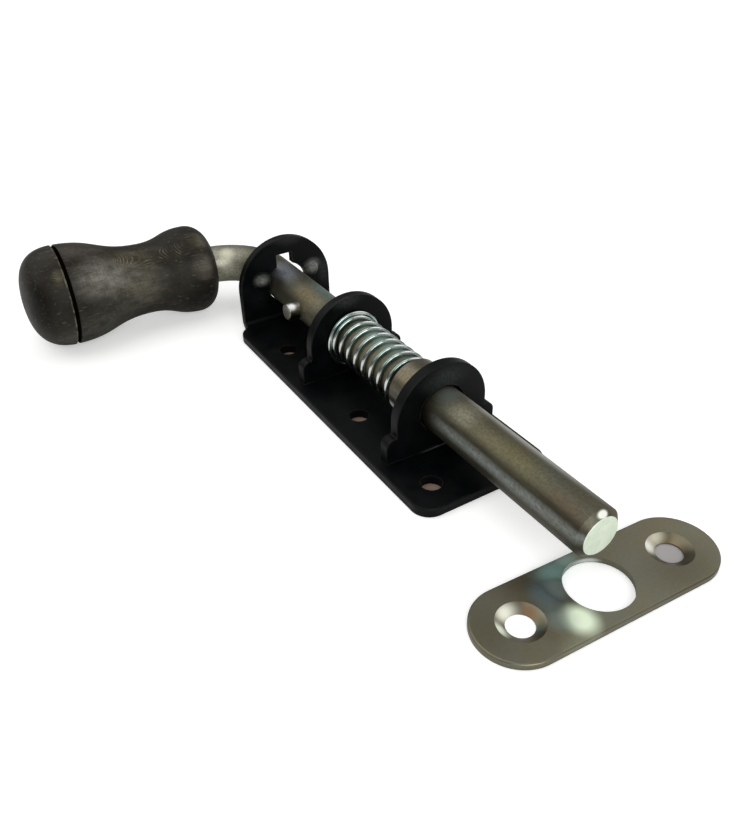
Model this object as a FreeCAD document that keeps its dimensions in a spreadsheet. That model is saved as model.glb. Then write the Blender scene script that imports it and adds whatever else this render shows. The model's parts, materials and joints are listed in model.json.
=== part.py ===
import FreeCAD, Part
import Sketcher
import math
import os

# A spring bolt lying shut: a round rod bent into a turning arm with a wooden
# handle slides in three upright ears on a flat base plate, pushed out by a
# coil spring, beside the loose keeper plate that receives its tip.
# X runs along the rod towards the tip, Z is up, millimetres throughout.
# The origin is on the base plate's underside, midway along its flat length.

V = FreeCAD.Vector
Turn = FreeCAD.Rotation
Place = FreeCAD.Placement

doc = FreeCAD.newDocument("spring_bolt")

# Driving dimensions
sheet = doc.addObject("Spreadsheet::Sheet", "sizes")
dimensions = {
    "base_length": 140.7,
    "base_width": 51.2,
    "base_thick": 3.2,
    "base_front_corner": 6.5,
    "base_rear_corner": 7.5,
    "base_edge": 0.5,
    "screw_dia": 7.2,
    "screw_row_gap": 29.8,
    "screw_rear_inset": 29.1,
    "screw_mid_setback": 55.9,
    "screw_front_inset": 11.1,
    "axis_above_base": 14.2,
    "upturn_radius": 20.8,
    "upturn_bend": 1.5,
    "upturn_bore_dia": 17.6,
    "upturn_bore_lift": 0.4,
    "upturn_bore_shift": 0.3,
    "key_width": 7.4,
    "key_reach": 13.6,
    "dent_reach": 16.0,
    "dent_angle": 20.0,
    "dent_breadth": 7.4,
    "dent_rise": 1.9,
    "dent_wall": 2.0,
    "dent_round": 1.5,
    "ear_thick": 4.0,
    "ear_edge": 0.4,
    "ear_radius": 17.9,
    "ear_drop": 1.0,
    "ear_bore_dia": 18.0,
    "ear_spacing": 58.2,
    "front_ear_inset": 26.4,
    "foot_width": 43.8,
    "foot_height": 9.2,
    "foot_corner": 3.0,
    "shoulder_corner": 0.6,
    "tenon_width": 8.0,
    "tenon_gap": 18.0,
    "rod_dia": 16.0,
    "tip_reach": 71.6,
    "tip_chamfer": 1.9,
    "bend_radius": 22.0,
    "arm_setback": 34.5,
    "arm_in_handle": 46.0,
    "arm_end_chamfer": 1.0,
    "pin_dia": 7.0,
    "pin_setback": 25.1,
    "pin_reach": 12.7,
    "pin_depth": 5.0,
    "pin_edge": 0.6,
    "collar_dia": 20.8,
    "collar_length": 13.2,
    "collar_edge": 0.5,
    "wire_dia": 1.6,
    "coil_clear": 0.12,
    "coil_turns": 7.25,
    "end_turns": 1.54,
    "end_turn_rise": 1.62,
    "end_turn_growth": 1.4,
    "handle_start": 22.0,
    "handle_length": 78.8,
    "mouth_radius": 11.0,
    "bead_radius": 18.7,
    "bead_pos": 8.2,
    "waist_radius": 14.8,
    "waist_pos": 29.5,
    "belly_radius": 20.6,
    "belly_pos": 62.5,
    "dome_fullness": 0.7,
    "handle_groove_pos": 62.7,
    "handle_groove_dia": 1.7,
    "keeper_length": 81.6,
    "keeper_width": 26.7,
    "keeper_thick": 2.0,
    "keeper_edge": 0.6,
    "keeper_bore_dia": 20.0,
    "keeper_screw_dia": 8.2,
    "keeper_sink_dia": 13.8,
    "keeper_screw_gap": 53.4,
    "keeper_beyond_tip": 2.6,
    "keeper_shift": -0.3,
    "keeper_turn": 2.8,
}
for row, (name, value) in enumerate(dimensions.items(), start=1):
    sheet.set("A%d" % row, name)
    sheet.set("B%d" % row, str(value))
    sheet.setAlias("B%d" % row, name)
doc.recompute()


def size(name):
    return float(sheet.get(name))


# Sizes and places that follow from the driving ones
axis_height = size("base_thick") + size("axis_above_base")
rod_radius = size("rod_dia") / 2
coil_radius = rod_radius + size("coil_clear") + size("wire_dia") / 2
base_front = size("base_length") / 2
base_rear = -base_front
front_ear_face = base_front - size("front_ear_inset")
mid_ear_face = front_ear_face - size("ear_spacing")
collar_face = front_ear_face - size("ear_thick")
collar_rear = collar_face - size("collar_length")
spring_length = collar_rear - mid_ear_face
coil_rise = spring_length - size("wire_dia") - size("end_turn_rise")
rod_tip = front_ear_face + size("tip_reach")
arm_line = base_rear - size("arm_setback")
pin_line = base_rear + size("pin_setback")
rod_length = rod_tip - arm_line


def rise_to_rest(reach, radius):
    """Angle of the arm at which a ring of the handle just touches the ground."""
    return math.atan2(radius, reach) - math.asin(axis_height / math.hypot(reach, radius))


# The arm hangs until the first of the handle's two widest rings touches the ground
bead_reach = size("handle_start") + size("bead_pos")
belly_reach = size("handle_start") + size("belly_pos")
arm_rise = max(
    rise_to_rest(bead_reach, size("bead_radius")),
    rise_to_rest(belly_reach, size("belly_radius")),
)
bolt_place = Place(V(arm_line, 0, axis_height), Turn(V(1, 0, 0), -math.degrees(arm_rise)))


# Shared building steps
def new_body(label):
    body = doc.addObject("PartDesign::Body", label)
    body.Label = label
    return body


def origin_item(body, role):
    return [item for item in body.Origin.OriginFeatures if item.Role == role][0]


def new_sketch(body, role, name, offset=0.0):
    sketch = body.newObject("Sketcher::SketchObject", name)
    sketch.AttachmentSupport = (origin_item(body, role), [""])
    sketch.MapMode = "FlatFace"
    sketch.AttachmentOffset = Place(V(0, 0, offset), Turn())
    return sketch


def add_circle(sketch, across, up, diameter):
    circle = Part.Circle(V(across, up, 0), V(0, 0, 1), size(diameter) / 2)
    index = sketch.addGeometry(circle, False)
    sketch.addConstraint(Sketcher.Constraint("Diameter", index, size(diameter)))
    sketch.setExpression("Constraints[%d]" % (sketch.ConstraintCount - 1), "sizes." + diameter)


def add_rectangle(sketch, left, right, low, high):
    corners = [V(left, low, 0), V(right, low, 0), V(right, high, 0), V(left, high, 0)]
    for here, there in zip(corners, corners[1:] + corners[:1]):
        sketch.addGeometry(Part.LineSegment(here, there), False)


def add_rounded(sketch, corners):
    """Close a straight-sided outline, each corner given as (across, up, radius)."""
    ends = []
    for index, (across, up, radius) in enumerate(corners):
        corner = V(across, up, 0)
        before = V(*corners[index - 1][:2], 0) - corner
        after = V(*corners[(index + 1) % len(corners)][:2], 0) - corner
        before.normalize()
        after.normalize()
        half = before.getAngle(after) / 2
        back = radius / math.tan(half)
        ends.append((corner + before * back, corner + after * back))
        if radius > 0:
            middle = before + after
            middle.normalize()
            centre = corner + middle * (radius / math.sin(half))
            crown = centre - middle * radius
            arc = Part.Arc(corner + before * back, crown, corner + after * back)
            sketch.addGeometry(arc, False)
    for (_, leave), (arrive, _) in zip(ends, ends[1:] + ends[:1]):
        if leave.distanceToPoint(arrive) > 1e-6:
            sketch.addGeometry(Part.LineSegment(leave, arrive), False)


def add_pad(body, sketch, name, length, reverse=False, both=False):
    pad = body.newObject("PartDesign::Pad", name)
    pad.Profile = sketch
    pad.setExpression("Length", length)
    pad.Reversed = reverse
    pad.Midplane = both
    doc.recompute()
    return pad


def add_cut(body, sketch, name, reverse=False):
    """Cut the sketch right through the body, both ways from its plane."""
    cut = body.newObject("PartDesign::Pocket", name)
    cut.Profile = sketch
    cut.Type = "ThroughAll"
    cut.Midplane = not reverse
    cut.Reversed = reverse
    doc.recompute()
    return cut


def edges_where(feature, wanted):
    picked = []
    for index, edge in enumerate(feature.Shape.Edges, start=1):
        if wanted(edge.BoundBox):
            picked.append("Edge%d" % index)
    return picked


def dress(body, kind, name, feature, wanted, length):
    """Round or bevel the wanted edges of the last feature."""
    dressing = body.newObject("PartDesign::" + kind, name)
    dressing.Base = (feature, edges_where(feature, wanted))
    dressing.setExpression("Radius" if kind == "Fillet" else "Size", "sizes." + length)
    doc.recompute()
    return dressing


def level(box, height, along="Z"):
    low = getattr(box, along + "Min")
    high = getattr(box, along + "Max")
    return abs(low - height) < 1e-4 and abs(high - height) < 1e-4


# Base plate: a flat strip whose narrowed rear end is turned up as the third ear
def make_base_plate():
    body = new_body("base_plate")
    side = size("base_width") / 2
    front = size("base_front_corner")
    rear = size("base_rear_corner")
    top = size("base_thick")
    fold = base_rear + size("upturn_bend")
    outline = new_sketch(body, "XY_Plane", "base_outline")
    corners = [(fold, -side, rear), (base_front, -side, front)]
    corners += [(base_front, side, front), (fold, side, rear)]
    add_rounded(outline, corners)
    slab = add_pad(body, outline, "base_slab", "sizes.base_thick")
    dress(body, "Fillet", "base_rim", slab, lambda box: level(box, top), "base_edge")
    joined = body.newObject("PartDesign::Boolean", "base_joined")
    joined.Type = "Fuse"
    joined.addObject(make_upturn(fold))
    doc.recompute()
    holes = new_sketch(body, "XY_Plane", "base_screw_row")
    for along in (
        base_rear + size("screw_rear_inset"),
        base_front - size("screw_mid_setback"),
        base_front - size("screw_front_inset"),
    ):
        add_circle(holes, along, -size("screw_row_gap") / 2, "screw_dia")
    row = add_cut(body, holes, "base_screw_holes")
    other = body.newObject("PartDesign::Mirrored", "base_other_row")
    other.Originals = [row]
    other.MirrorPlane = (origin_item(body, "XZ_Plane"), [""])
    body.Tip = other
    doc.recompute()
    slots = new_sketch(body, "XY_Plane", "base_slot_plan")
    for face in (mid_ear_face, front_ear_face):
        for left, right in tenon_spans():
            add_rectangle(slots, face - size("ear_thick"), face, left, right)
    add_cut(body, slots, "base_slots")
    return body


def make_upturn(fold):
    """The turned-up end: a bent strip with a rounded crown, dents, bore and key slot."""
    body = new_body("upturn")
    thick = size("base_thick")
    radius = size("upturn_radius")
    crown_height = axis_height + radius
    section = new_sketch(body, "XZ_Plane", "upturn_section")
    add_bent_section(section, fold, fold + size("base_rear_corner"), crown_height)
    add_pad(body, section, "upturn_strip", "2 * sizes.upturn_radius", both=True)
    waste = new_sketch(body, "YZ_Plane", "upturn_crown_plan")
    left = V(-radius, axis_height, 0)
    right = V(radius, axis_height, 0)
    waste.addGeometry(Part.Arc(left, V(0, crown_height, 0), right), False)
    corners = [right, V(radius, crown_height + thick, 0), V(-radius, crown_height + thick, 0), left]
    for here, there in zip(corners, corners[1:]):
        waste.addGeometry(Part.LineSegment(here, there), False)
    crown = add_cut(body, waste, "upturn_crown")
    bend_top = thick + size("upturn_bend")

    def rim(box):
        on_face = level(box, base_rear, "X") or level(box, base_rear - thick, "X")
        return on_face and box.ZMax > bend_top + 1e-3

    dress(body, "Fillet", "upturn_rim", crown, rim, "ear_edge")
    add_dents(body, base_rear)
    bore = new_sketch(body, "YZ_Plane", "upturn_bore_plan")
    add_circle(bore, size("upturn_bore_shift"), axis_height + size("upturn_bore_lift"), "upturn_bore_dia")
    add_cut(body, bore, "upturn_bore")
    key = new_sketch(body, "YZ_Plane", "upturn_key_plan")
    half = size("key_width") / 2
    add_rectangle(key, -half, half, axis_height, axis_height + size("key_reach"))
    add_cut(body, key, "upturn_key")
    return body


def add_bent_section(sketch, fold, foot_end, top):
    """Draw the strip from the side: a short foot, the bend round its pivot, the upright."""
    thick = size("base_thick")
    pivot = V(fold, thick + size("upturn_bend"), 0)
    diagonal = V(math.sqrt(0.5), math.sqrt(0.5), 0)
    back = base_rear - thick
    outside = [V(foot_end, 0, 0), V(fold, 0, 0), V(back, pivot.y, 0), V(back, top, 0)]
    inside = [V(base_rear, top, 0), V(base_rear, pivot.y, 0)]
    inside += [V(fold, thick, 0), V(foot_end, thick, 0)]
    outer_crest = pivot - diagonal * (size("upturn_bend") + thick)
    inner_crest = pivot - diagonal * size("upturn_bend")
    sketch.addGeometry(Part.LineSegment(outside[0], outside[1]), False)
    sketch.addGeometry(Part.Arc(outside[1], outer_crest, outside[2]), False)
    sketch.addGeometry(Part.LineSegment(outside[2], outside[3]), False)
    sketch.addGeometry(Part.LineSegment(outside[3], inside[0]), False)
    sketch.addGeometry(Part.LineSegment(inside[0], inside[1]), False)
    sketch.addGeometry(Part.Arc(inside[1], inner_crest, inside[2]), False)
    sketch.addGeometry(Part.LineSegment(inside[2], inside[3]), False)
    sketch.addGeometry(Part.LineSegment(inside[3], outside[0]), False)


def add_dents(body, face):
    """Press a parking dent for the cross pin into each side of the upturn's rear face."""
    boss = new_sketch(body, "YZ_Plane", "dent_boss_plan", face)
    dent = new_sketch(body, "YZ_Plane", "dent_plan", face - size("base_thick"))
    wall = size("dent_wall")
    for side in (-1, 1):
        add_trough(boss, side, size("dent_reach"), size("dent_breadth"))
        add_trough(dent, side, size("dent_reach") - wall / 2, size("dent_breadth") - wall)
    swell = add_pad(body, boss, "dent_bosses", "sizes.dent_rise")
    rise = face + size("dent_rise")
    dress(body, "Fillet", "dent_boss_rims", swell, lambda box: level(box, rise, "X"), "dent_round")
    press = body.newObject("PartDesign::Pocket", "dents")
    press.Profile = dent
    press.setExpression("Length", "sizes.dent_rise")
    press.Reversed = True
    doc.recompute()


def add_trough(sketch, side, reach, breadth):
    """Draw a round-ended oblong that runs from beside the axis out to its reach."""
    lean = math.radians(size("dent_angle"))
    along = V(side * math.cos(lean), math.sin(lean), 0)
    across = V(-along.y, along.x, 0) * (breadth / 2)
    axis = V(0, axis_height, 0)
    inner = axis + along * (rod_radius / 2)
    outer = axis + along * (reach - breadth / 2)
    end = axis + along * reach
    sketch.addGeometry(Part.LineSegment(inner + across, outer + across), False)
    sketch.addGeometry(Part.Arc(outer + across, end, outer - across), False)
    sketch.addGeometry(Part.LineSegment(outer - across, inner - across), False)
    sketch.addGeometry(Part.LineSegment(inner - across, inner + across), False)


def tenon_spans():
    inner = size("tenon_gap") / 2
    outer = inner + size("tenon_width")
    return ((-outer, -inner), (inner, outer))


# Ears: upright plates whose local origin is on the bore's axis, in the front face
def ear_bottom_line():
    """The lower edge from right to left, down and up round the two tenons."""
    seat = -size("axis_above_base")
    flush = -axis_height
    (left, inner_left), (inner_right, right) = tenon_spans()
    return [
        (right, seat, 0), (right, flush, 0), (inner_right, flush, 0), (inner_right, seat, 0),
        (inner_left, seat, 0), (inner_left, flush, 0), (left, flush, 0), (left, seat, 0),
    ]


def add_ear_outline(sketch, radius, side_line):
    """Join the crown arc to a left-hand run of points, mirrored on the right."""
    drop = size("ear_drop")
    crown = Part.Arc(V(-radius, -drop, 0), V(0, radius - drop, 0), V(radius, -drop, 0))
    sketch.addGeometry(crown, False)
    right_line = [(-across, up, bend) for across, up, bend in reversed(side_line)]
    start = [(radius, -drop, 0)]
    finish = [(-radius, -drop, 0)]
    add_open_rounded(sketch, start + right_line + ear_bottom_line() + side_line + finish)


def add_open_rounded(sketch, points):
    """Draw a run of lines with rounded corners between two fixed ends."""
    start = V(points[0][0], points[0][1], 0)
    for index in range(1, len(points)):
        corner = V(points[index][0], points[index][1], 0)
        bend = points[index][2]
        if bend <= 0:
            sketch.addGeometry(Part.LineSegment(start, corner), False)
            start = corner
            continue
        before = V(points[index - 1][0], points[index - 1][1], 0) - corner
        after = V(points[index + 1][0], points[index + 1][1], 0) - corner
        before.normalize()
        after.normalize()
        half = before.getAngle(after) / 2
        middle = before + after
        middle.normalize()
        arrive = corner + before * (bend / math.tan(half))
        leave = corner + after * (bend / math.tan(half))
        crown = corner + middle * (bend / math.sin(half) - bend)
        sketch.addGeometry(Part.LineSegment(start, arrive), False)
        sketch.addGeometry(Part.Arc(arrive, crown, leave), False)
        start = leave


def make_ear(label, face):
    body = new_body(label)
    outline = new_sketch(body, "YZ_Plane", label + "_outline")
    add_ear_outline(outline, size("ear_radius"), shouldered_side())
    slab = add_pad(body, outline, label + "_slab", "sizes.ear_thick", reverse=True)
    seat = -size("axis_above_base")

    def rim(box):
        on_face = level(box, 0, "X") or level(box, -size("ear_thick"), "X")
        return on_face and box.ZMax > seat + 1e-3 and box.ZMin > seat - 1e-3

    dress(body, "Fillet", label + "_rim", slab, rim, "ear_edge")
    bore = new_sketch(body, "YZ_Plane", label + "_bore_plan")
    add_circle(bore, 0, 0, "ear_bore_dia")
    add_cut(body, bore, label + "_bore")
    body.Placement = Place(V(face, 0, axis_height), Turn())
    return body


def shouldered_side():
    """Left side of an ear that spreads into a foot with a rounded shoulder."""
    seat = -size("axis_above_base")
    shoulder = seat + size("foot_height")
    foot = -size("foot_width") / 2
    neck = -size("ear_radius")
    return [
        (foot, seat, 0),
        (foot, shoulder, size("foot_corner")),
        (neck, shoulder, size("shoulder_corner")),
    ]


# Bolt: one round bar, straight along X, then bent through a quarter turn into the arm
def make_bolt_rod():
    body = new_body("bolt_rod")
    bend = size("bend_radius")
    arm = size("handle_start") + size("arm_in_handle")
    lean = bend * math.sqrt(0.5)
    path = new_sketch(body, "XY_Plane", "rod_path")
    path.addGeometry(Part.LineSegment(V(rod_length, 0, 0), V(bend, 0, 0)), False)
    path.addGeometry(Part.Arc(V(bend, 0, 0), V(bend - lean, lean - bend, 0), V(0, -bend, 0)), False)
    path.addGeometry(Part.LineSegment(V(0, -bend, 0), V(0, -arm, 0)), False)
    section = new_sketch(body, "YZ_Plane", "rod_section", rod_length)
    add_circle(section, 0, 0, "rod_dia")
    doc.recompute()
    bar = body.newObject("PartDesign::AdditivePipe", "rod_bar")
    bar.Profile = section
    bar.Spine = (path, ["Edge1", "Edge2", "Edge3"])
    doc.recompute()
    tip = dress(body, "Chamfer", "rod_tip", bar, lambda box: level(box, rod_length, "X"), "tip_chamfer")
    dress(body, "Chamfer", "rod_arm_end", tip, lambda box: level(box, -arm, "Y"), "arm_end_chamfer")
    seat = new_sketch(body, "XZ_Plane", "rod_pin_plan", -size("pin_depth"))
    add_circle(seat, pin_line - arm_line, 0, "pin_dia")
    add_cut(body, seat, "rod_pin_seat", reverse=True)
    body.Placement = bolt_place
    return body


# Cross pin: a short stud let into the rod's side, level with the arm
def make_cross_pin():
    body = new_body("cross_pin")
    section = new_sketch(body, "XZ_Plane", "pin_section")
    add_circle(section, 0, 0, "pin_dia")
    stud = add_pad(body, section, "pin_stud", "sizes.pin_depth + sizes.pin_reach")
    end = -size("pin_depth") - size("pin_reach")
    dress(body, "Fillet", "pin_end", stud, lambda box: level(box, end, "Y"), "pin_edge")
    local = Place(V(pin_line - arm_line, size("pin_depth"), 0), Turn())
    body.Placement = bolt_place.multiply(local)
    return body


# Collar: the ring on the rod that the spring pushes against the front ear
def make_spring_collar():
    body = new_body("spring_collar")
    section = new_sketch(body, "YZ_Plane", "collar_section")
    add_circle(section, 0, 0, "collar_dia")
    add_circle(section, 0, 0, "rod_dia")
    ring = add_pad(body, section, "collar_ring", "sizes.collar_length", reverse=True)

    def rim(box):
        return box.YLength > size("rod_dia") + 1e-3 and box.XLength < 1e-4

    dress(body, "Chamfer", "collar_rim", ring, rim, "collar_edge")
    local = Place(V(collar_face - arm_line, 0, 0), Turn())
    body.Placement = bolt_place.multiply(local)
    return body


# Spring: open coils with one wider end turn lying on the middle ear
def make_spring():
    body = new_body("spring")
    section = new_sketch(body, "XZ_Plane", "wire_section")
    add_circle(section, size("wire_dia") / 2 + size("end_turn_rise"), coil_radius, "wire_dia")
    doc.recompute()
    coils = add_helix(body, section, "spring_coils")
    coils.Height = coil_rise
    coils.Turns = size("coil_turns")
    coils.Growth = 0
    doc.recompute()
    end_turn = add_helix(body, section, "spring_end_turn")
    end_turn.Reversed = True
    end_turn.Height = size("end_turn_rise")
    end_turn.Turns = size("end_turns")
    end_turn.Growth = size("end_turn_growth")
    doc.recompute()
    body.Placement = Place(V(mid_ear_face, 0, axis_height), Turn())
    return body


def add_helix(body, section, name):
    """A left-handed run of wire round the rod's axis, its height, turns and growth still to set."""
    coil = body.newObject("PartDesign::AdditiveHelix", name)
    coil.Profile = section
    coil.ReferenceAxis = (section, ["H_Axis"])
    coil.Mode = "height-turns-growth"
    coil.LeftHanded = True
    return coil


# Handle: a turned wooden grip, bored for the arm, its axis along local -Y
def flowing_curve(start, finish, leave, arrive):
    """Draw one smooth curve that leaves and arrives along the given steps."""
    curve = Part.BezierCurve()
    curve.setPoles([start, start + leave, finish - arrive, finish])
    return curve.toBSpline()


def make_handle():
    body = new_body("handle")
    bore = rod_radius
    mouth = V(size("mouth_radius"), 0, 0)
    bead = V(size("bead_radius"), -size("bead_pos"), 0)
    waist = V(size("waist_radius"), -size("waist_pos"), 0)
    belly = V(size("belly_radius"), -size("belly_pos"), 0)
    pole = V(0, -size("handle_length"), 0)
    depth = -size("arm_in_handle")
    roundness = 0.5523
    lip = bead - mouth
    fall = (waist - bead) * 0.5
    swell = (belly - waist) * 0.5
    dome = pole - belly
    fullness = size("dome_fullness")
    profile = new_sketch(body, "XY_Plane", "handle_profile")
    profile.addGeometry(Part.LineSegment(V(bore, 0, 0), mouth), False)
    lip_out = V(lip.x * roundness, 0, 0)
    lip_down = V(0, lip.y * roundness, 0)
    dome_down = V(0, dome.y * fullness, 0)
    dome_in = V(dome.x * fullness, 0, 0)
    profile.addGeometry(flowing_curve(mouth, bead, lip_out, lip_down), False)
    profile.addGeometry(flowing_curve(bead, waist, V(0, fall.y, 0), V(0, fall.y, 0)), False)
    profile.addGeometry(flowing_curve(waist, belly, V(0, swell.y, 0), V(0, swell.y, 0)), False)
    profile.addGeometry(flowing_curve(belly, pole, dome_down, dome_in), False)
    profile.addGeometry(Part.LineSegment(pole, V(0, depth, 0)), False)
    profile.addGeometry(Part.LineSegment(V(0, depth, 0), V(bore, depth, 0)), False)
    profile.addGeometry(Part.LineSegment(V(bore, depth, 0), V(bore, 0, 0)), False)
    doc.recompute()
    grip = body.newObject("PartDesign::Revolution", "handle_grip")
    grip.Profile = profile
    grip.ReferenceAxis = (profile, ["V_Axis"])
    grip.Angle = 360
    doc.recompute()
    line = new_sketch(body, "XY_Plane", "handle_groove_section")
    add_circle(line, size("belly_radius"), -size("handle_groove_pos"), "handle_groove_dia")
    doc.recompute()
    groove = body.newObject("PartDesign::Groove", "handle_groove")
    groove.Profile = line
    groove.ReferenceAxis = (line, ["V_Axis"])
    groove.Angle = 360
    doc.recompute()
    body.Placement = bolt_place.multiply(Place(V(0, -size("handle_start"), 0), Turn()))
    return body


# Keeper: a loose oblong plate whose big hole takes the rod's tip
def make_strike_plate():
    body = new_body("strike_plate")
    top = size("keeper_thick")
    half = size("keeper_width") / 2
    reach = size("keeper_length") / 2 - half
    outline = new_sketch(body, "XY_Plane", "keeper_outline")
    outline.addGeometry(Part.LineSegment(V(half, -reach, 0), V(half, reach, 0)), False)
    outline.addGeometry(Part.Arc(V(half, reach, 0), V(0, reach + half, 0), V(-half, reach, 0)), False)
    outline.addGeometry(Part.LineSegment(V(-half, reach, 0), V(-half, -reach, 0)), False)
    outline.addGeometry(Part.Arc(V(-half, -reach, 0), V(0, -reach - half, 0), V(half, -reach, 0)), False)
    slab = add_pad(body, outline, "keeper_slab", "sizes.keeper_thick")
    dress(body, "Fillet", "keeper_rim", slab, lambda box: level(box, top), "keeper_edge")
    bore = new_sketch(body, "XY_Plane", "keeper_bore_plan")
    add_circle(bore, 0, 0, "keeper_bore_dia")
    add_cut(body, bore, "keeper_bore")
    screws = new_sketch(body, "XY_Plane", "keeper_screw_plan", top)
    for side in (-1, 1):
        add_circle(screws, 0, side * size("keeper_screw_gap") / 2, "keeper_screw_dia")
    doc.recompute()
    sinks = body.newObject("PartDesign::Hole", "keeper_screw_holes")
    sinks.Profile = screws
    doc.recompute()
    sinks.Threaded = False
    sinks.DepthType = "ThroughAll"
    sinks.setExpression("Diameter", "sizes.keeper_screw_dia")
    sinks.HoleCutType = "Countersink"
    sinks.setExpression("HoleCutDiameter", "sizes.keeper_sink_dia")
    sinks.HoleCutCountersinkAngle = 120
    doc.recompute()
    middle = V(rod_tip + size("keeper_beyond_tip"), size("keeper_shift"), 0)
    body.Placement = Place(middle, Turn(V(0, 0, 1), -size("keeper_turn")))
    return body


pieces = [
    make_base_plate(),
    make_ear("middle_ear", mid_ear_face),
    make_ear("front_ear", front_ear_face),
    make_bolt_rod(),
    make_cross_pin(),
    make_spring_collar(),
    make_spring(),
    make_handle(),
    make_strike_plate(),
]
doc.recompute()

for item in doc.Objects:
    if "Invalid" in item.State or "Error" in item.State:
        raise RuntimeError("%s did not build: %s" % (item.Name, item.State))

os.makedirs("parts", exist_ok=True)
for piece in pieces:
    shape = piece.Shape
    if shape.isNull() or not shape.isValid():
        raise RuntimeError("%s has no valid solid" % piece.Label)
    box = shape.BoundBox
    spans = (box.XMin, box.XMax, box.YMin, box.YMax, box.ZMin, box.ZMax)
    print("%-14s %9.0f mm3  %s" % (piece.Label, shape.Volume, " ".join("%.1f" % span for span in spans)))
    shape.exportStep("parts/%s.step" % piece.Label)
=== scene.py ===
import json
import math

import bpy
from mathutils import Matrix, Vector


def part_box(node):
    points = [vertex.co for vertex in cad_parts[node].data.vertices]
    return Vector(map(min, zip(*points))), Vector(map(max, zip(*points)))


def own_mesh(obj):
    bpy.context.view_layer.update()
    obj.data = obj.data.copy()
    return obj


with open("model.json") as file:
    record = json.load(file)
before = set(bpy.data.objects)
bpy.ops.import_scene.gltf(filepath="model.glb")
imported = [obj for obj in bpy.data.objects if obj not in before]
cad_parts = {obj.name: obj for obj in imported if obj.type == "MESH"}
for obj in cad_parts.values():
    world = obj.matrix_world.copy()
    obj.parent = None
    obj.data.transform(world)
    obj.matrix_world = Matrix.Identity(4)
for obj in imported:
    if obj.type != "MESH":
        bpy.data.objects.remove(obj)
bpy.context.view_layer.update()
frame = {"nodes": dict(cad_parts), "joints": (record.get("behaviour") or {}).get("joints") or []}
nodes = frame["nodes"]
axisHeight = frame["joints"][1]["pos_m"][2]    # of the bar, over the plate's underside
print("loaded", len(nodes), "pieces")


def linearColour(text):
    # a hex colour as painted on screen, turned into the linear values the renderer works in
    painted = [int(text[i:i + 2], 16) / 255 for i in (1, 3, 5)]
    linear = [c / 12.92 if c <= 0.04045 else ((c + 0.055) / 1.055) ** 2.4 for c in painted]
    return linear + [1.0]


def setStops(node, stops):
    # a colour ramp's stops, each a position and a hex colour or a grey level
    elements = node.color_ramp.elements
    while len(elements) < len(stops):
        elements.new(0.5)
    for element, (position, level) in zip(elements, stops):
        element.position = position
        grey = not isinstance(level, str)
        element.color = (level, level, level, 1) if grey else linearColour(level)


def addNode(tree, kind, settings=None, inputs=None, out=0):
    # one node with its settings and links: an input is a value, a hex colour or a node's output,
    # and what comes back is the output named by out, or for None all of them
    node = tree.nodes.new("ShaderNode" + kind)
    for name, value in (settings or {}).items():
        if name == "stops":
            setStops(node, value)
        else:
            setattr(node, name, value)
    for key, value in (inputs or {}).items():
        socket = node.inputs[key]
        if isinstance(value, bpy.types.NodeSocket):
            tree.links.new(value, socket)
        elif isinstance(value, str):
            socket.default_value = linearColour(value)
        else:
            socket.default_value = value
    return node.outputs[out] if node.outputs and out is not None else node.outputs


# settings that many nodes share
colourMix = {"data_type": "RGBA"}      # inputs: 0 the share, 6 the first colour, 7 the second
multiply = {"operation": "MULTIPLY"}
multiplyAdd = {"operation": "MULTIPLY_ADD"}
add = {"operation": "ADD"}
larger = {"operation": "MAXIMUM"}
compare = {"operation": "COMPARE"}     # 1 within input 2 of input 1, 0 beyond it
dotProduct = {"operation": "DOT_PRODUCT"}
length = {"operation": "LENGTH"}
usualNoise = (0.3, 0.7)                # most of a noise texture's values lie between these
patchCore = 0.1                        # share of a patch's reach that has its full strength


def newMaterial(name):
    material = bpy.data.materials.new(name)
    material.use_nodes = True
    material.node_tree.nodes.clear()
    return material, material.node_tree


def dress(node, material):
    mesh = nodes[node].data
    mesh.materials.clear()
    mesh.materials.append(material)


def placedCoords(tree, stretch=(1, 1, 1), shift=(0, 0, 0)):
    # the piece's own metres, stretched so that a pattern can run along it
    coords = addNode(tree, "TexCoord", None, None, "Object")
    return addNode(tree, "Mapping", None, {0: coords, "Scale": stretch, "Location": shift})


def pattern(tree, cells, *levels):
    # uneven cells of a real size: one result for each pair of levels, which it runs between,
    # and the plain noise for None
    stretch, shift = cells.get("stretch", (1, 1, 1)), cells.get("shift", (0, 0, 0))
    noise = addNode(tree, "TexNoise", None, {
        0: placedCoords(tree, stretch, shift), "Scale": 1000 / cells["sizeMm"],
        "Detail": cells.get("detail", 4), "Roughness": cells.get("roughness", 0.55),
    })
    values = [
        noise if pair is None else addNode(tree, "MapRange", None, {
            "Value": noise, "From Min": usualNoise[0], "From Max": usualNoise[1],
            "To Min": pair[0], "To Max": pair[1],
        })
        for pair in levels
    ]
    return values if len(values) > 1 else values[0]


def nearPlace(tree, place, reach, amount):
    # the amount at a place, fading smoothly to nothing over its reach, both in millimetres
    stretch = [1000 / width for width in reach]
    shift = [-at / width for at, width in zip(place, reach)]
    far = addNode(tree, "VectorMath", length, {0: placedCoords(tree, stretch, shift)}, "Value")
    return addNode(tree, "MapRange", {"interpolation_type": "SMOOTHSTEP"}, {
        "Value": far, "From Min": patchCore, "From Max": 1.0, "To Min": amount, "To Max": 0.0,
    })


def addPatches(tree, tint, patches, broken=1.0):
    # soft clouds of another colour, tints and painted light alike, each at its own place:
    # middle, reach, colour, strength
    for place, reach, colour, amount in patches:
        near = nearPlace(tree, place, reach, amount)
        share = addNode(tree, "Math", multiply, {0: near, 1: broken})
        tint = addNode(tree, "Mix", colourMix, {0: share, 6: tint, 7: colour}, 2)
    return tint


# black paint on pressed steel: the plate with its turned-up end and the two other ears

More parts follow.
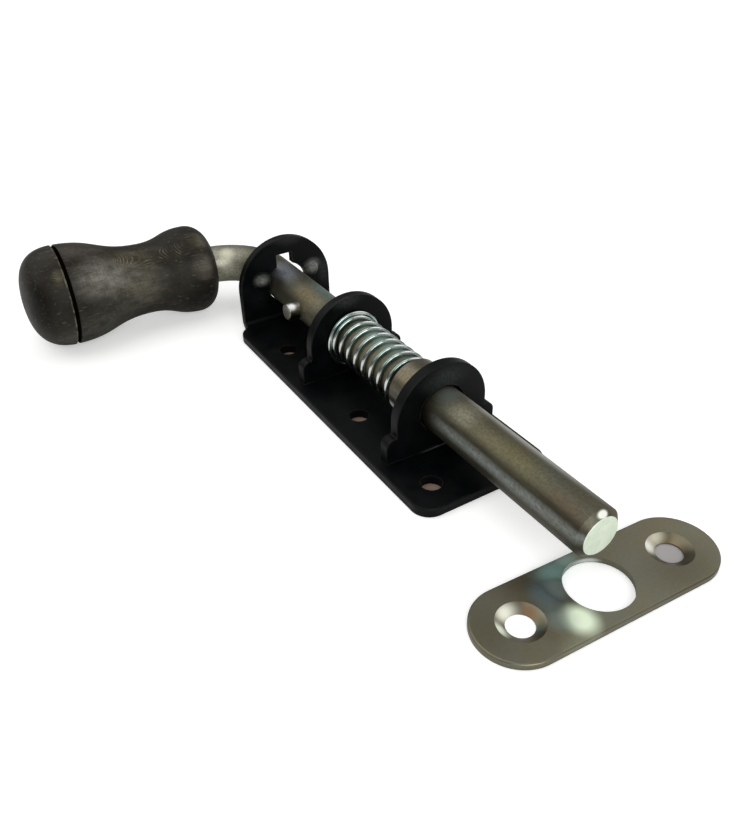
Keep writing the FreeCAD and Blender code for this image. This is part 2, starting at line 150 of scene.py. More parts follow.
blackPaint = {
    "colour": "#010203",
    "thinColour": "#07090a",      # where the coat lies thin the steel greys it
    "edgeColour": "#6c6f6b",      # and on the edges a grey line, partly rubbed paint and partly a painted highlight
    "edgeMm": 0.32,
    "edgeTurn": (0.99, 0.9),      # how far an edge's rounding has to turn the surface to count
    "edgeStrength": 0.6,
    "edgeBreaks": (0.25, 1.0),
    "roughness": (0.34, 0.5),
    "specular": 0.13,
    "mottle": {"sizeMm": 7.0, "detail": 5},
    "orangePeel": {"sizeMm": 0.6, "detail": 2},
    "peelDepthMm": 0.035,
    "peelStrength": 0.5,
    "sheenBreaks": {"sizeMm": 1.1, "detail": 5},
    "sheenBreakLevels": (0.35, 1.0),
    "patches": [                  # middle and reach in mm, colour, strength
        ((-68.8, -11.6, 22.3), (4, 4.4, 3.2), "#858781", 0.95),    # painted highlights on both dents
        ((-69.0, 12.9, 22.8), (4, 5.6, 4.2), "#8e908a", 1.1),
        ((-70.0, 3.5, 36.8), (3, 9.0, 4.0), "#2e302d", 0.9),       # painted sheens on the rear ear's rim and face
        ((-70.0, 18.2, 19.0), (3, 4.0, 9.0), "#323433", 0.9),
        ((-14.2, -2.0, 32.8), (2, 9.0, 3.8), "#303231", 1.0),      # painted sheen over the middle ear's bore
        # more painted sheen on the rear ear
        ((-69.5, -3.0, 37.0), (4, 9.0, 1.6), "#3a3b39", 0.4),
        ((-70.0, -14.0, 14.0), (4, 7.0, 7.0), "#17191a", 0.7),
        ((44.2, 0.5, 28.8), (2, 13.0, 6.2), "#2c322f", 1.0),       # painted sheen over the front ear's bore
        ((44.6, -3.0, 3.3), (0.45, 8.0, 0.8), "#7d8284", 0.9),     # and a painted highlight along its foot
    ],
    "noEdgeLinePatches": [             # no grey edge line, neither worn nor highlighted, at the screw holes and low on that bore
        ((x, y, 2.4), (6.5, 6.5, 3.2), "#030404", 1.6)
        for x in (-41.25, 14.45, 59.25) for y in (-14.9, 14.9)
    ] + [((44.2, -7.5, 13.0), (3.2, 5, 7), "#030404", 1.5)],
}


def edgeWearAndHighlightMask(tree, spec, breaks):
    # the grey line on the rims of sharp edges, partly wear and partly a painted highlight, none
    # on the flats
    rounded = addNode(tree, "Bevel", {"samples": 4}, {"Radius": spec["edgeMm"] / 1000})
    plain = addNode(tree, "NewGeometry", None, None, "Normal")
    match = addNode(tree, "VectorMath", dotProduct, {0: rounded, 1: plain}, "Value")
    rim = addNode(tree, "MapRange", None, {
        "Value": match, "From Min": spec["edgeTurn"][0], "From Max": spec["edgeTurn"][1],
        "To Min": 0.0, "To Max": spec["edgeStrength"],
    })
    return addNode(tree, "Math", multiply, {0: rim, 1: breaks})


def makeBlackPaint():
    # satin black enamel sprayed on pressed steel: deep black with painted soft grey sheens and
    # highlights, a faint orange peel and grey edges, partly rubbed and partly painted highlight
    spec = blackPaint
    material, tree = newMaterial("satin_black_enamel_on_pressed_steel")
    thin, breaks, roughness = pattern(
        tree, spec["mottle"], (0, 1), spec["edgeBreaks"], spec["roughness"],
    )
    colour = addNode(tree, "Mix", colourMix, {
        0: thin, 6: spec["colour"], 7: spec["thinColour"],
    }, 2)
    sheenBreaks = pattern(tree, spec["sheenBreaks"], spec["sheenBreakLevels"])
    # painted sheens and highlights, broken by a fine noise
    colour = addPatches(tree, colour, spec["patches"], sheenBreaks)
    # grey edge lines, partly rubbed paint and partly painted highlight
    edgeWearAndHighlight = edgeWearAndHighlightMask(tree, spec, breaks)
    colour = addNode(tree, "Mix", colourMix, {0: edgeWearAndHighlight, 6: colour, 7: spec["edgeColour"]}, 2)
    colour = addPatches(tree, colour, spec["noEdgeLinePatches"])
    bump = addNode(tree, "Bump", None, {
        "Height": pattern(tree, spec["orangePeel"], None),
        "Distance": spec["peelDepthMm"] / 1000, "Strength": spec["peelStrength"],
    })
    shader = addNode(tree, "BsdfPrincipled", None, {
        "Base Color": colour, "Normal": bump, "Roughness": roughness,
        "Specular IOR Level": spec["specular"],
    })
    addNode(tree, "OutputMaterial", None, {0: shader})
    return material


paint = makeBlackPaint()
for name in ("base_plate", "middle_ear", "front_ear"):
    dress(name, paint)
print("painted the plate and ears")


# zinc plating: the bar's, from which the other plated pieces take what they share

barZinc = {
    "colour": "#74705f",
    "coolColour": "#6b7670",      # the passivate turns bluish where it is thin
    "warmColour": "#766b50",      # and brown-gold where it is thick
    "tintStrength": 0.6,
    "lineColour": "#4b483e",
    "lineStrength": 0.3,
    "roughness": (0.4, 0.54),
    "clouds": {"sizeMm": 14.0, "stretch": (0.5, 1, 1)},
    "warmClouds": {"sizeMm": 11.2, "shift": (0.3, 0.1, 0)},
    "specks": {"sizeMm": 0.9, "detail": 3},
    "speckStrength": 0.5,
    "lines": {"sizeMm": 0.22, "stretch": (0.08, 1, 1), "detail": 3},
    "lineDepthMm": 0.004,
    "lineRelief": 0.35,
    "patches": [],                # as in the paint: middle, reach, colour, strength
    "bands": None,
    "bandWaver": {"sizeMm": 5.0, "stretch": (0.2, 1, 1), "detail": 3},
    "bandBreaks": {"sizeMm": 1.2, "stretch": (0.3, 1, 1), "detail": 5},
    "bandBreakLevels": (0.6, 1.0),
    "paintedLightSpots": [],              # painted highlights and light: they scatter light more than they mirror it
    "bareAndLitMetallic": 0.25,
}


def addBands(tree, tint, spec):
    # painted reflections and highlights drawn along the bar at their places round it: 0.5 is the
    # -Y side and 0.75 the top
    bands = spec["bands"]
    fromAxis = placedCoords(tree, shift=(0, 0, -axisHeight))
    along, right, up = addNode(tree, "SeparateXYZ", None, {0: fromAxis}, None)
    left = addNode(tree, "Math", multiply, {0: right, 1: -1.0})
    angle = addNode(tree, "Math", {"operation": "ARCTAN2"}, {0: up, 1: left})
    turn = addNode(tree, "Math", multiplyAdd, {0: angle, 1: 1 / math.tau, 2: 0.5})
    waver = pattern(tree, spec["bandWaver"], (-bands["waver"], bands["waver"]))
    turn = addNode(tree, "Math", add, {0: turn, 1: waver})
    first, full = bands["fromMm"]
    reached = addNode(tree, "MapRange", None, {
        "Value": along, "From Min": first / 1000, "From Max": full / 1000,
    })
    strength = addNode(tree, "ValToRGB", {"stops": bands["strength"]}, {0: turn})
    sheenBreaks = pattern(tree, spec["bandBreaks"], spec["bandBreakLevels"])
    for share in (reached, sheenBreaks):
        strength = addNode(tree, "Math", multiply, {0: strength, 1: share})
    colours = addNode(tree, "ValToRGB", {"stops": bands["colours"]}, {0: turn})
    return addNode(tree, "Mix", colourMix, {0: strength, 6: tint, 7: colours}, 2)


def makeZinc(name, spec, addExtra=None):
    # dull zinc with a thin clear passivate: grey-olive metal with faint blue and gold clouds
    # and specks, and fine lines from drawing or turning that stretch its highlights
    material, tree = newMaterial(name)
    tints = (0, spec["tintStrength"])
    cool, roughness = pattern(tree, spec["clouds"], tints, spec["roughness"])
    tint = addNode(tree, "Mix", colourMix, {
        0: cool, 6: spec["colour"], 7: spec["coolColour"],
    }, 2)
    warm = pattern(tree, spec["warmClouds"], tints)
    tint = addNode(tree, "Mix", colourMix, {0: warm, 6: tint, 7: spec["warmColour"]}, 2)
    # tint clouds, and painted light and shade where a finish lists them
    tint = addPatches(tree, tint, spec["patches"])
    # painted reflections and highlights in bands round the piece
    if spec["bands"]:
        tint = addBands(tree, tint, spec)
    lines, relief = pattern(tree, spec["lines"], (spec["lineStrength"], 0), None)
    specks = pattern(tree, spec["specks"], (spec["speckStrength"], 0))
    for share in (lines, specks):
        tint = addNode(tree, "Mix", colourMix, {0: share, 6: tint, 7: spec["lineColour"]}, 2)

    # the share that is bare sawn metal, painted highlight or painted light, made less metallic
    bareAndLit = None
    if addExtra:
        tint, bareAndLit = addExtra(tree, tint)
    # painted highlights and light, each at its place
    for place, reach, colour, amount in spec["paintedLightSpots"]:
        near = nearPlace(tree, place, reach, amount)
        tint = addNode(tree, "Mix", colourMix, {0: near, 6: tint, 7: colour}, 2)
        bareAndLit = near if bareAndLit is None else addNode(tree, "Math", larger, {0: bareAndLit, 1: near})
    metallic = 1.0
    if bareAndLit is not None:
        metallic = addNode(tree, "Math", dict(multiplyAdd, use_clamp=True), {
            0: bareAndLit, 1: spec["bareAndLitMetallic"] - 1, 2: 1.0,
        })
    bump = addNode(tree, "Bump", None, {
        "Height": relief, "Distance": spec["lineDepthMm"] / 1000, "Strength": spec["lineRelief"],
    })
    shader = addNode(tree, "BsdfPrincipled", None, {
        "Base Color": tint, "Metallic": metallic, "Normal": bump, "Roughness": roughness,
    })
    addNode(tree, "OutputMaterial", None, {0: shader})
    return material


rodZinc = dict(
    barZinc,
    roughness=(0.46, 0.6),
    endColour="#f5ffec",          # the sawn end is nearly bare, painted near white for the light it catches
    endCloudColour="#b9d3b4",
    endClouds={"sizeMm": 2.2, "detail": 3},
    endCloudStrength=0.35,
    endDepthMm=0.15,
    bands={                       # painted reflection: a pale streak between a dark line and the dark lower edge
        "fromMm": (46.0, 54.0),
        "waver": 0.006,
        "colours": [
            (0.42, "#30312b"), (0.484, "#3d3f39"), (0.514, "#929a99"), (0.538, "#abb3b2"),
            (0.564, "#8d9593"), (0.582, "#35322a"), (0.598, "#403c2f"), (0.622, "#5d5947"),
        ],
        "strength": [(0.34, 0.0), (0.42, 0.75), (0.604, 0.9), (0.64, 0.0)],
    },
    patches=[
        ((-66.0, -2.0, 25.0), (13, 9, 8), "#c3c9d6", 0.85),      # painted reflection, pale lilac by the rear ear, dark below it
        ((-63.0, -6.8, 22.0), (10, 3.6, 5), "#35362c", 0.9),
        ((-40.0, -3.0, 23.0), (18, 10, 9), "#a5a189", 0.7),      # then cream, gold and teal
        ((-43.0, -5.0, 24.0), (13, 6, 6), "#998a66", 0.7),
        ((-38.0, 2.5, 25.0), (20, 5, 5), "#92afa8", 0.85),
        ((-52.0, -7.5, 20.0), (20, 4, 5), "#625f50", 0.6),
        ((58.5, -1.0, 24.2), (9.5, 9, 6), "#a8a58e", 0.9),       # in front: cream by the ear, painted light over its shade, then olive and brown
        ((82.0, -3.0, 24.0), (26, 7, 6), "#8f8a64", 0.6),
        ((106.0, -5.5, 23.0), (12, 5, 6), "#7a6046", 0.5),
        ((44.5, -6.5, 15.5), (9, 6, 11), "#0d0f0e", 1.0),        # painted shade of the front ear
        ((6.0, 0.0, 17.4), (26, 14, 14), "#b5b39c", 0.95),       # painted light on the bar under the spring's coils, where their shade falls
        ((-101.0, -20.0, 20.0), (20, 28, 18), "#cfcebb", 1.0),   # the arm is paler than the bar
        ((-90.5, -8.0, 21.5), (5, 5, 8), "#827d66", 0.8),
    ],
    paintedLightSpots=[
        ((114.75, 0.2, 24.5), (1.5, 2.4, 1.6), "#f8faee", 2.2),  # a painted highlight on the chamfer
        ((-98.4, -15.0, 24.2), (4.5, 5, 5), "#e6e6cc", 0.8),     # a painted highlight on the bend
        ((-69.0, 0.0, 25.4), (9, 5, 3), "#7d858c", 0.5),
        ((6.0, 2.0, 25.4), (25, 8, 6), "#8ba79f", 0.85),         # painted light, teal and olive, on the bar between the coils
        ((6.0, -5.5, 22.5), (25, 4.5, 6), "#8c8868", 0.5),
        ((47.5, 0.5, 25.5), (6.5, 8, 4), "#5d6865", 0.75),       # painted light where the front ear shades it
        ((80.0, 4.2, 24.2), (42, 3.6, 3.6), "#b4b4ac", 0.8),     # a painted highlight line, far side
    ],
)
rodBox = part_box("bolt_rod")


def addSawnEnd(tree, tint):
    # the bare sawn end of the bar, painted near white for the light it catches, clouded with a
    # little green
    spec = rodZinc
    along = addNode(tree, "SeparateXYZ", None, {0: placedCoords(tree)}, "X")
    sawn = addNode(tree, "Math", {"operation": "GREATER_THAN"}, {
        0: along, 1: rodBox[1][0] - spec["endDepthMm"] / 1000,
    })
    cloud = pattern(tree, spec["endClouds"], (0, spec["endCloudStrength"]))
    bright = addNode(tree, "Mix", colourMix, {
        0: cloud, 6: spec["endColour"], 7: spec["endCloudColour"],
    }, 2)
    return addNode(tree, "Mix", colourMix, {0: sawn, 6: tint, 7: bright}, 2), sawn


dress("bolt_rod", makeZinc("clear_zinc_on_drawn_bar", rodZinc, addExtra=addSawnEnd))

# turned smoother than the bar, so it shines brighter
pinZinc = dict(
    barZinc,
    colour="#a9a797",
    coolColour="#99a19b",
    roughness=(0.24, 0.34),
    lines=dict(barZinc["lines"], stretch=(1, 0.08, 1)),
    patches=[
        ((-45.2, -12.9, 16.4), (5, 1.6, 5), "#4b483d", 0.95),    # painted shade on its end and underside
        ((-48.5, -9.0, 16.0), (3, 5, 4), "#55524a", 0.9),
    ],
    # a painted highlight on its top
    paintedLightSpots=[((-43.3, -10.9, 20.6), (2.7, 2.4, 2.4), "#ffffff", 1.3)],
)
dress("cross_pin", makeZinc("clear_zinc_on_turned_stud", pinZinc))

# turned too, a little warmer than the bar
collarZinc = dict(
    barZinc,
    colour="#8d8774",
    coolColour="#868d86",
    warmColour="#937f5d",
    roughness=(0.28, 0.38),
    lines=dict(barZinc["lines"], stretch=(1, 0.4, 0.4)),
    bands={                       # painted reflection: a bright lower edge with a dark line over it
        "fromMm": (0.0, 1.0),
        "waver": 0.008,
        "colours": [
            (0.41, "#c9d0ce"), (0.455, "#d9dfdd"), (0.475, "#6a716f"), (0.505, "#33383a"),
            (0.54, "#3f4644"), (0.57, "#77786b"), (0.59, "#8a8573"),
        ],
        "strength": [(0.36, 0.0), (0.41, 0.9), (0.56, 0.9), (0.62, 0.0)],
    },
    # a painted highlight on its lower edge
    paintedLightSpots=[((28.5, -10.2, 13.4), (9, 3, 3), "#e6ecea", 1.1)],
)
dress("spring_collar", makeZinc("clear_zinc_on_turned_collar", collarZinc))

# bright wire: pale and smooth, with small sharp highlights
springZinc = dict(
    barZinc,
    colour="#c3d1cd",
    coolColour="#93b1ae",
    warmColour="#cdcdbb",
    lineColour="#62706e",
    lineStrength=0.1,
    lineDepthMm=0.0,
    speckStrength=0.1,
    roughness=(0.14, 0.22),
    lines=dict(barZinc["lines"], stretch=(1, 0.3, 0.3)),
    clouds=dict(barZinc["clouds"], sizeMm=5.0),
    warmClouds=dict(barZinc["warmClouds"], sizeMm=4.0),
    bands={                       # painted highlights on the left side and the top, with teal between
        "fromMm": (-30.0, -20.0),
        "waver": 0.01,
        "colours": [
            (0.44, "#5b6766"), (0.5, "#eef4f2"), (0.545, "#ffffff"), (0.585, "#7d918f"),
            (0.69, "#87a09c"), (0.745, "#eef8f4"), (0.8, "#ffffff"), (0.86, "#7f9a97"),
        ],
        "strength": [(0.4, 0.0), (0.46, 0.9), (0.84, 0.9), (0.9, 0.0)],
    },
)
dress("spring", makeZinc("bright_zinc_on_spring_wire", springZinc))

# rolled strip: even olive with hardly a line, with painted teal reflections and pale highlights
# round its holes
sheetZinc = dict(
    barZinc,
    colour="#807b69",
    coolColour="#7b877f",
    warmColour="#83775b",
    lineStrength=0.08,
    lineDepthMm=0.001,
    speckStrength=0.12,
    roughness=(0.3, 0.42),
    lines=dict(barZinc["lines"], stretch=(1, 0.06, 1)),
    clouds=dict(barZinc["clouds"], sizeMm=18.0),
    warmClouds=dict(barZinc["warmClouds"], sizeMm=14.4),
    patches=[
        ((108.0, -7.5, 1.7), (7, 10, 9), "#a9cdc5", 0.95),       # painted reflections: teal beside the large hole,
        ((113.5, -15.5, 1.7), (9, 6, 9), "#7d9299", 0.9),        # slate and sage beyond it
        ((121.5, -17.0, 1.7), (8, 7, 9), "#94a39a", 0.85),
        ((130.5, -19.0, 1.7), (6, 9, 9), "#a9ad97", 0.35),
        ((106.0, -19.0, 1.7), (6, 6, 9), "#6b5844", 0.4),        # and brown to olive outside
        ((127.0, 24.0, 1.7), (15, 20, 9), "#6b6654", 0.85),
        ((115.0, -36.0, 1.7), (14, 9, 9), "#736e5a", 0.7),
    ],
    bareAndLitMetallic=0.1,
    paintedLightSpots=[
        ((124.6, -13.4, 2.0), (7.6, 6.4, 4), "#e9f7db", 1.25),   # a painted highlight before it
        ((108.0, -8.0, 2.0), (5.5, 7, 4), "#6a8a84", 0.65),
        ((106.5, -2.0, 2.0), (4, 6, 4), "#8fa99f", 0.7),
        ((113.5, -11.2, 2.0), (6, 5, 4), "#66736f", 0.8),
        ((109.4, 3.5, 0.8), (3.5, 8.5, 1.3), "#c3cec8", 1.2),    # painted light on the hole's sheared wall
        ((114.5, -16.5, 2.0), (7, 5, 4), "#56625f", 0.45),
        ((122.0, -17.5, 2.0), (6, 6, 4), "#76857c", 0.45),
    ],
    coneFacing=0.93,              # cosine of the lean from which a face is a countersink's cone
    sinkPatches=[                 # painted reflections on the cones: brown, teal and gold
        ((115.0, -29.5, 1.0), (7, 6, 4), "#8a7b62", 0.8),
        ((119.5, -24.5, 1.2), (3.4, 3.4, 3), "#7fa39a", 0.8),
        ((115.2, -22.6, 1.2), (3.6, 3.0, 3), "#7b5f47", 0.9),
        ((119.2, -22.2, 1.2), (3.0, 3.0, 3), "#6b6249", 0.8),
        ((118.0, 27.0, 1.0), (8, 7, 4), "#93805c", 0.7),
        ((121.5, 29.5, 1.2), (4.0, 4.0, 3), "#4c4434", 0.9),
        ((124.4, 22.3, 1.4), (3.0, 3.0, 3), "#a9a392", 0.8),
    ],
    sinkHighlightSpots=[               # and their painted cream highlight crescents
        ((111.9, -28.2, 1.4), (4.4, 5.6, 4), "#f7f6e4", 1.0),
        ((115.6, -33.2, 1.4), (4.6, 3.2, 4), "#eef6e2", 1.1),
        ((114.9, 22.0, 1.4), (4.6, 4.0, 4), "#f4f5e9", 1.0),
        ((113.4, 27.0, 1.4), (3.6, 5.0, 4), "#d9d6bf", 0.8),
    ],
)


def addCountersinks(tree, tint):
    # painted reflections and cream highlights on the countersinks' cones, not on the flat
    spec = sheetZinc
    normal = addNode(tree, "NewGeometry", None, None, "Normal")
    facing = addNode(tree, "SeparateXYZ", None, {0: normal}, "Z")
    cone = addNode(tree, "Math", {"operation": "LESS_THAN"}, {0: facing, 1: spec["coneFacing"]})
    inside = addPatches(tree, tint, spec["sinkPatches"] + spec["sinkHighlightSpots"])
    bareAndLit = 0.0
    for place, reach, _, amount in spec["sinkHighlightSpots"]:
        near = nearPlace(tree, place, reach, amount)
        bareAndLit = addNode(tree, "Math", larger, {0: bareAndLit, 1: near})
    bareAndLit = addNode(tree, "Math", multiply, {0: bareAndLit, 1: cone})
    return addNode(tree, "Mix", colourMix, {0: cone, 6: tint, 7: inside}, 2), bareAndLit


keeperZinc = makeZinc("clear_zinc_on_pressed_strip", sheetZinc, addExtra=addCountersinks)
dress("strike_plate", keeperZinc)
print("plated the bolt, spring and keeper")


# stained and varnished beech

beech = {
    "colour": "#2c2821",
    "paleColour": "#413d34",
    "darkColour": "#15120e",
    "poreColour": "#0c0a08",
    "roughness": (0.42, 0.54),
    "specular": 0.14,
    "broad": {"sizeMm": 9.0, "stretch": (1, 0.3, 1)},
    "blotches": {"sizeMm": 3.2, "stretch": (1, 0.45, 1), "detail": 5, "roughness": 0.6},
    "blotchStrength": 0.65,
    "grain": {"sizeMm": 0.45, "stretch": (1, 0.07, 1), "detail": 6, "roughness": 0.65},
    "grainStrength": 0.5,
    "poreDepthMm": 0.03,
    "poreRelief": 0.5,
    "turned": {"sizeMm": 0.4, "stretch": (0.08, 1, 0.08), "detail": 3},
    "turnedStrength": 0.35,
    "rays": {"sizeMm": 0.8, "stretch": (1, 0.22, 1), "detail": 1},
    "rayColour": "#6f6a58",       # short pale flecks that beech shows along its grain
    "rayStops": [(0.64, 0.0), (0.74, 0.32)],
    "ringColour": "#968d6e",
    "ringMm": 0.3,                # rise from one yearly line to the next
    "ringStops": [(0.0, 1.0), (0.2, 0.0), (0.8, 0.0), (1.0, 1.0)],
    "ringFacing": (0.5, 0.0, 0.866),
    "ringBends": {"sizeMm": 7.0, "stretch": (1, 0.6, 1), "detail": 1},
    "ringBendMm": 0.25,
    "ringFaint": {"sizeMm": 11.0, "shift": (0.11, 0.02, 0.05), "detail": 2},
    "ringFaintLevels": (0.0, 0.1),
    "ringFlecks": {"sizeMm": 1.6, "detail": 3},
    "ringFleckLevels": (0.1, 1.0),
    "tilt": 2.44,                 # degrees the arm and handle rise
    "groove": (84.7, 0.72),       # middle and half width in mm, along the handle from the bar
    # the groove is painted shade, near black
    "grooveColour": "#070605",
    "lip": (85.8, 0.25),          # its outer edge carries a painted highlight, broken in places
    "lipColour": "#8c8670",
    "lipBreaks": {"sizeMm": 3.0},
    "lipBreakLevels": (-0.3, 0.75),
    "patches": [
        ((-90.0, -57.0, 25.0), (12, 16, 16), "#878473", 0.9),    # painted sheens and light on the stain
        ((-101.5, -76.0, 40.0), (9, 18, 7), "#6e665e", 0.7),
        ((-96.0, -27.0, 34.5), (6, 5, 6), "#857f6b", 0.8),
        ((-88.5, -88.5, 8.5), (7, 8, 7), "#6a6a64", 0.6),
        ((-98.0, -55.0, 34.0), (8, 16, 6), "#6d6653", 0.7),
        ((-88.0, -72.0, 13.0), (9, 22, 13), "#5a5b53", 0.85),
        ((-89.5, -70.0, 31.0), (12, 18, 12), "#a8a498", 0.95),   # and a painted grey sheen on the belly
        ((-90.5, -87.0, 34.5), (4, 3.2, 7), "#77725c", 0.8),
        ((-91.5, -97.5, 24.0), (14, 10, 15), "#0b0504", 1.4),    # red-black at the end
        ((-88.5, -88.0, 22.0), (7, 9, 10), "#1a1814", 0.8),
        ((-86.5, -32.5, 11.5), (9, 13, 10.5), "#070706", 1.3),   # and painted shade under the bead
        # painted highlights on the bead
        ((-87.5, -29.0, 26.5), (6, 7, 8), "#8d897b", 0.85),
        ((-97.0, -29.3, 35.6), (7, 6, 4), "#565140", 0.6),
    ],
    "ringPatches": [              # where the arcs show most: middle, reach, strength
        ((-96.6, -59.0, 32.8), (8, 9.0, 5), 0.75),
        ((-95.0, -50.5, 30.7), (4, 3, 5), 0.7),
        ((-96.0, -43.5, 32.2), (6, 3, 5), 0.85),
        ((-94.0, -37.5, 33.0), (6, 2.6, 5), 0.6),
        ((-91.0, -88.2, 35.0), (4, 2.2, 4), 0.45),
    ],
}


def addRings(tree, tint, spec):
    # yearly layers as level lines, pale arcs where the turned shape cuts through them
    rise = addNode(tree, "VectorMath", dotProduct, {
        0: placedCoords(tree), 1: spec["ringFacing"],
    }, "Value")
    bend = pattern(tree, spec["ringBends"], (0, spec["ringBendMm"] / 1000))
    rise = addNode(tree, "Math", add, {0: rise, 1: bend})
    years = addNode(tree, "Math", multiply, {0: rise, 1: 1000 / spec["ringMm"]})
    phase = addNode(tree, "Math", {"operation": "FRACT"}, {0: years})
    line = addNode(tree, "ValToRGB", {"stops": spec["ringStops"]}, {0: phase})
    shown = pattern(tree, spec["ringFaint"], spec["ringFaintLevels"])
    for patch in spec["ringPatches"]:
        shown = addNode(tree, "Math", larger, {0: shown, 1: nearPlace(tree, *patch)})
    flecks = pattern(tree, spec["ringFlecks"], spec["ringFleckLevels"])
    arcs = addNode(tree, "Math", multiply, {0: line, 1: shown})
    arcs = addNode(tree, "Math", dict(multiply, use_clamp=True), {0: arcs, 1: flecks})
    return addNode(tree, "Mix", colourMix, {0: arcs, 6: tint, 7: spec["ringColour"]}, 2)


def makeBeech():
    # turned beech, stained near black and varnished satin: long grain, fine turning marks,
    # short pale flecks and the nested arcs of its yearly layers
    spec = beech
    material, tree = newMaterial("dark_stained_beech_satin_varnish")
    pale, roughness = pattern(tree, spec["broad"], (0, 1), spec["roughness"])
    colour = addNode(tree, "Mix", colourMix, {
        0: pale, 6: spec["colour"], 7: spec["paleColour"],
    }, 2)
    # painted sheens, highlights and shade, and the dark end
    colour = addPatches(tree, colour, spec["patches"])
    blotches = pattern(tree, spec["blotches"], (spec["blotchStrength"], 0))
    grain, relief = pattern(tree, spec["grain"], (spec["grainStrength"], 0), None)
    turned = pattern(tree, spec["turned"], (spec["turnedStrength"], 0))
    rays = addNode(tree, "ValToRGB", {"stops": spec["rayStops"]}, {
        0: pattern(tree, spec["rays"], None),
    })
    layers = [
        (blotches, "darkColour"), (grain, "darkColour"),
        (turned, "poreColour"), (rays, "rayColour"),
    ]
    for share, shade in layers:
        colour = addNode(tree, "Mix", colourMix, {0: share, 6: colour, 7: spec[shade]}, 2)
    colour = addRings(tree, colour, spec)

    tilt = math.radians(spec["tilt"])
    outward = (0, -math.cos(tilt), math.sin(tilt))
    fromAxis = placedCoords(tree, shift=(0, 0, -axisHeight))
    reachOut = addNode(tree, "VectorMath", dotProduct, {0: fromAxis, 1: outward}, "Value")
    groove, lip = [
        addNode(tree, "Math", compare, {0: reachOut, 1: middle / 1000, 2: half / 1000})
        for middle, half in (spec["groove"], spec["lip"])
    ]
    # painted highlight along the groove's outer edge, broken in places
    lipHighlight = pattern(tree, spec["lipBreaks"], spec["lipBreakLevels"])
    lipHighlight = addNode(tree, "Math", multiply, {0: lip, 1: lipHighlight})
    colour = addNode(tree, "Mix", colourMix, {0: lipHighlight, 6: colour, 7: spec["lipColour"]}, 2)
    bump = addNode(tree, "Bump", None, {
        "Height": relief, "Distance": spec["poreDepthMm"] / 1000, "Strength": spec["poreRelief"],
    })
    wood = addNode(tree, "BsdfPrincipled", None, {
        "Base Color": colour, "Normal": bump, "Roughness": roughness,
        "Specular IOR Level": spec["specular"],
    })
    # painted shade in the groove
    grooveShade = addNode(tree, "BsdfDiffuse", None, {"Color": spec["grooveColour"]})
    surface = addNode(tree, "MixShader", None, {0: groove, 1: wood, 2: grooveShade})
    addNode(tree, "OutputMaterial", None, {0: surface})
    return material


dress("handle", makeBeech())
print("stained the handle")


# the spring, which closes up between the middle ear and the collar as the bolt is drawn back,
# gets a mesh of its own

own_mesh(nodes["spring"])


# floor, light and camera

studio = {
    "floorHalf": 3.0,
    "floorDrop": 0.0002,          # just under the plates
    "floorColour": "#f4f4f2",
    "floorGlow": 0.42,
    "floorFade": (0.35, 1.1),     # metres out where the floor begins and ends turning white
    "floorShades": [              # painted shade under the plates, seen through screw holes: middle, half size, colour
        ((0.0, 0.0), (0.065, 0.0225), "#a28c80"),
        ((0.1182, 0.0264), (0.007, 0.007), "#aca9a8"),
    ],
    "worldLevel": 0.27,
    "lampAim": (0, 0, 0.01),
    "lamps": {                    # power, size, place
        "key": (11.0, 2.2, (-0.45, -0.5, 1.2)),
        "fill": (7.0, 0.9, (1.1, -0.2, 0.6)),
        "back": (5.0, 1.6, (0.1, 1.1, 1.0)),
    },
}


def makeFloor():
    # a pale table top that glows a little for the camera alone and fades into the white
    # backdrop, with painted shade under the plates
    edge = studio["floorHalf"]
    mesh = bpy.data.meshes.new("floor")
    corners = [(-edge, -edge, 0), (edge, -edge, 0), (edge, edge, 0), (-edge, edge, 0)]
    mesh.from_pydata(corners, [], [(0, 1, 2, 3)])
    floor = bpy.data.objects.new("floor", mesh)
    bpy.context.scene.collection.objects.link(floor)
    floor.location.z = -studio["floorDrop"]

    material, tree = newMaterial("pale_table_top")
    coords = placedCoords(tree)
    far = addNode(tree, "VectorMath", length, {0: coords}, "Value")
    first, full = studio["floorFade"]
    level = addNode(tree, "MapRange", None, {
        "Value": far, "From Min": first, "From Max": full,
        "To Min": studio["floorGlow"], "To Max": 1.0,
    })
    seen = addNode(tree, "LightPath", None, None, "Is Camera Ray")
    level = addNode(tree, "Math", multiply, {0: seen, 1: level})
    colour = studio["floorColour"]
    across = addNode(tree, "SeparateXYZ", None, {0: coords}, None)
    # painted shade where the plates cover the floor, without the glow
    for middle, half, shadeColour in studio["floorShades"]:
        insideX, insideY = [
            addNode(tree, "Math", compare, {0: across[k], 1: middle[k], 2: half[k]})
            for k in (0, 1)
        ]
        covered = addNode(tree, "Math", multiply, {0: insideX, 1: insideY})
        clear = addNode(tree, "Math", {"operation": "SUBTRACT"}, {0: 1.0, 1: covered})
        level = addNode(tree, "Math", multiply, {0: level, 1: clear})
        colour = addNode(tree, "Mix", colourMix, {0: covered, 6: colour, 7: shadeColour}, 2)
    matt = addNode(tree, "BsdfDiffuse", None, {"Color": colour})
    glow = addNode(tree, "Emission", None, {"Color": "#ffffff", "Strength": level})
    surface = addNode(tree, "AddShader", None, {0: matt, 1: glow})
    addNode(tree, "OutputMaterial", None, {0: surface})
    mesh.materials.append(material)


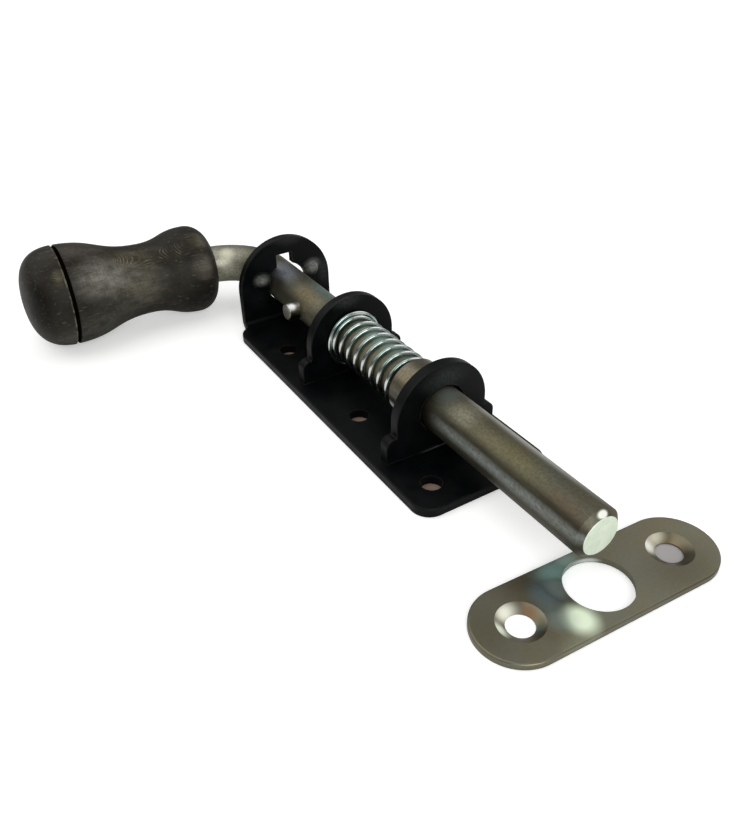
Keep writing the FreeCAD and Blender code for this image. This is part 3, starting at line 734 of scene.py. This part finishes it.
def makeWorld():
    # soft grey light all round, and plain white where the camera looks past the floor
    world = bpy.data.worlds.new("studio")
    bpy.context.scene.world = world
    world.use_nodes = True
    tree = world.node_tree
    tree.nodes.clear()
    seen = addNode(tree, "LightPath", None, None, "Is Camera Ray")
    soft, white = [
        addNode(tree, "Background", None, {"Color": "#ffffff", "Strength": level})
        for level in (studio["worldLevel"], 1.0)
    ]
    shown = addNode(tree, "MixShader", None, {0: seen, 1: soft, 2: white})
    addNode(tree, "OutputWorld", None, {0: shown})


def addLamp(name, power, size, place):
    lamp = bpy.data.lights.new(name, "AREA")
    lamp.shape = "DISK"
    lamp.size = size
    lamp.energy = power
    holder = bpy.data.objects.new(name, lamp)
    bpy.context.scene.collection.objects.link(holder)
    holder.location = place
    towards = Vector(studio["lampAim"]) - Vector(place)
    holder.rotation_euler = towards.to_track_quat("-Z", "Y").to_euler()


makeFloor()
makeWorld()
for lampName, (power, size, place) in studio["lamps"].items():
    addLamp(lampName, power, size, place)
print("lit the scene")

camera = {
    "azimuth": -31.19,            # degrees round from +X
    "elevation": 34.75,
    "roll": 1.24,
    "distance": 0.2907,
    "aim": (0.01251, -0.00663, 0.0),
    "lens": 34.667,
    "filmHeight": 36,
    "nearest": 0.01,
}


def makeCamera():
    turn = math.radians(camera["azimuth"])
    lift = math.radians(camera["elevation"])
    roll = math.radians(camera["roll"])
    level = math.cos(lift)
    back = Vector((level * math.cos(turn), level * math.sin(turn), math.sin(lift)))
    side = (-back).cross(Vector((0, 0, 1))).normalized()
    down = (-back).cross(side)
    right = side * math.cos(roll) + down * math.sin(roll)
    up = side * math.sin(roll) - down * math.cos(roll)
    data = bpy.data.cameras.new("camera")
    data.sensor_fit = "VERTICAL"
    data.sensor_height = camera["filmHeight"]
    data.lens = camera["lens"]
    data.clip_start = camera["nearest"]
    holder = bpy.data.objects.new("camera", data)
    bpy.context.scene.collection.objects.link(holder)
    place = Vector(camera["aim"]) + back * camera["distance"]
    facing = Matrix((right, up, back)).transposed().to_4x4()
    holder.matrix_world = Matrix.Translation(place) @ facing
    bpy.context.scene.camera = holder


makeCamera()
bpy.context.scene.view_settings.view_transform = "Standard"
print("placed the camera")
